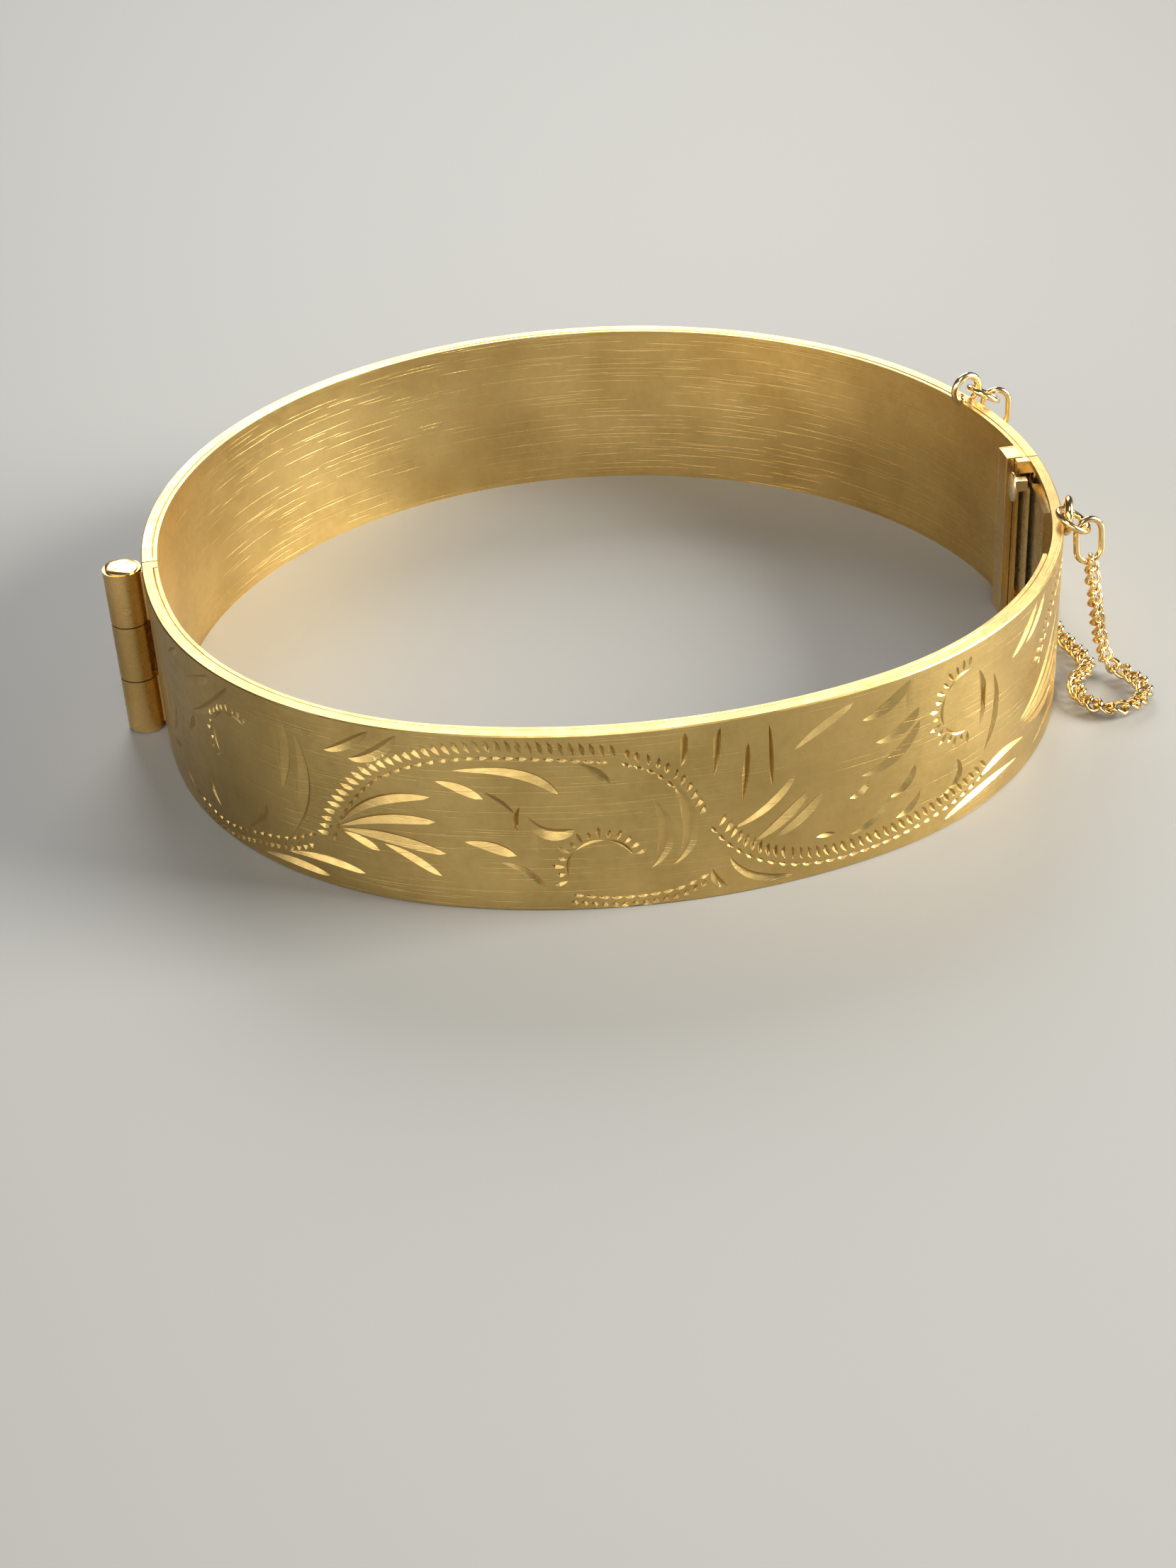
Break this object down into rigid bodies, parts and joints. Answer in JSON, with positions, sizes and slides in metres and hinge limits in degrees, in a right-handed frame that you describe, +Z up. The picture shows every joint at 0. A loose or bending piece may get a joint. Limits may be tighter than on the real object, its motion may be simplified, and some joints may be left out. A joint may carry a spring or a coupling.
{
  "type": "bangle bracelet",
  "caption": "Oval hinged bangle: engraved front half, plain rear half, three-knuckle barrel hinge, sprung tongue and box clasp, soldered loops and safety chain.",
  "frame": {"origin": "on the ground under the middle of the whole bracelet", "axes": "+Z up along the hinge pin, +X from the hinge to the clasp, engraved front half toward -Y"},
  "size_m": [0.0704, 0.0618, 0.0148],
  "materials": {
    "engraved_gold": "satin engraved gold",
    "satin_gold": "plain satin gold inside",
    "hinge_gold": "drawn gold tube",
    "spring_gold": "polished spring-hard gold",
    "wire_gold": "polished gold wire"
  },
  "bodies": {
    "front_half": {"front_outer_shell": "engraved_gold", "front_inner_liner": "satin_gold", "front_hinge_end_plate": "satin_gold", "pocket_end_plate": "satin_gold", "front_clasp_frame": "satin_gold", "hinge_knuckle_top": "hinge_gold", "hinge_knuckle_bottom": "hinge_gold", "hinge_pin": "hinge_gold", "front_hinge_leaf_top": "satin_gold", "front_hinge_leaf_bottom": "satin_gold", "tongue_base_leaf": "spring_gold", "front_chain_loop": "wire_gold", "safety_chain": "wire_gold"},
    "rear_half": {"rear_outer_shell": "satin_gold", "rear_inner_liner": "satin_gold", "rear_hinge_end_plate": "satin_gold", "rear_hinge_leaf": "satin_gold", "hinge_knuckle_middle": "hinge_gold", "clasp_box": "satin_gold", "box_back_plate": "satin_gold", "box_mouth_plate": "satin_gold", "rear_chain_loop": "wire_gold"},
    "tongue_spring": {"tongue_spring_leaf": "spring_gold", "thumb_tab": "spring_gold"},
    "front_link": {"front_link_ring": "wire_gold"},
    "front_jump": {"front_jump_ring": "wire_gold"},
    "rear_link": {"rear_link_ring": "wire_gold"},
    "rear_jump": {"rear_jump_ring": "wire_gold"}
  },
  "joints": [
    {"name": "main_hinge", "type": "hinge", "parent": "front_half", "child": "rear_half", "pos_m": [-0.03385, -0.00225, 0.00635], "axis": [0, 0, 1], "range_deg": [0, 28], "deforming": ["safety_chain"]},
    {"name": "thumb_press", "type": "hinge", "parent": "front_half", "child": "tongue_spring", "pos_m": [0.02946, 0.00085, 0.00635], "axis": [0, 0, 1], "range_deg": [0, 2], "stiffness_Nm_per_rad": 0.004},
    {"name": "front_link_swing", "type": "hinge", "parent": "front_half", "child": "front_link", "pos_m": [0.02967, -0.00999, 0.01385], "axis": [0.2328, 0.9725, 0], "range_deg": [-6, 6], "deforming": ["safety_chain"]},
    {"name": "front_jump_swing", "type": "hinge", "parent": "front_link", "child": "front_jump", "pos_m": [0.03071, -0.01116, 0.01227], "axis": [0.2328, 0.9725, 0], "range_deg": [-12, 12], "deforming": ["safety_chain"]},
    {"name": "rear_link_swing", "type": "hinge", "parent": "rear_half", "child": "rear_link", "pos_m": [0.02913, 0.01038, 0.01345], "axis": [-0.3422, 0.9396, 0], "range_deg": [-6, 6], "deforming": ["safety_chain"]},
    {"name": "rear_jump_swing", "type": "hinge", "parent": "rear_link", "child": "rear_jump", "pos_m": [0.03033, 0.01029, 0.01243], "axis": [-0.3422, 0.9396, 0], "range_deg": [-12, 12], "deforming": ["safety_chain"]}
  ]
}
